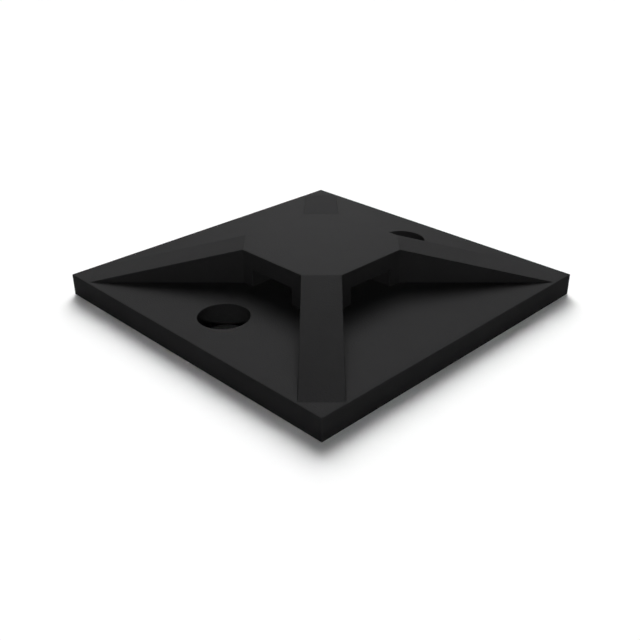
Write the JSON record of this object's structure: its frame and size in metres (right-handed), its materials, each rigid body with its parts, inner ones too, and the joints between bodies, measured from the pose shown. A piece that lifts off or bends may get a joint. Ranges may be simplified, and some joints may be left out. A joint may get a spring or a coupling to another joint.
{
  "type": "cable tie mount",
  "caption": "Square black plastic base with a raised octagonal bridge on sloping diagonal ribs; a cable tie threads under the bridge from any side, and plain screw holes fix it down.",
  "frame": {"origin": "centre of the square underside, which lies on the surface that the mount is fixed to", "axes": "+Z out of that surface, through the middle of the platform; +X through the screw holes; X and Y along the plate's sides"},
  "size_m": [0.038, 0.038, 0.0061],
  "materials": {
    "black_nylon": "matt black as moulded, with a fine even grain"
  },
  "bodies": {
    "root": {"tie_mount": "black_nylon"}
  },
  "joints": []
}
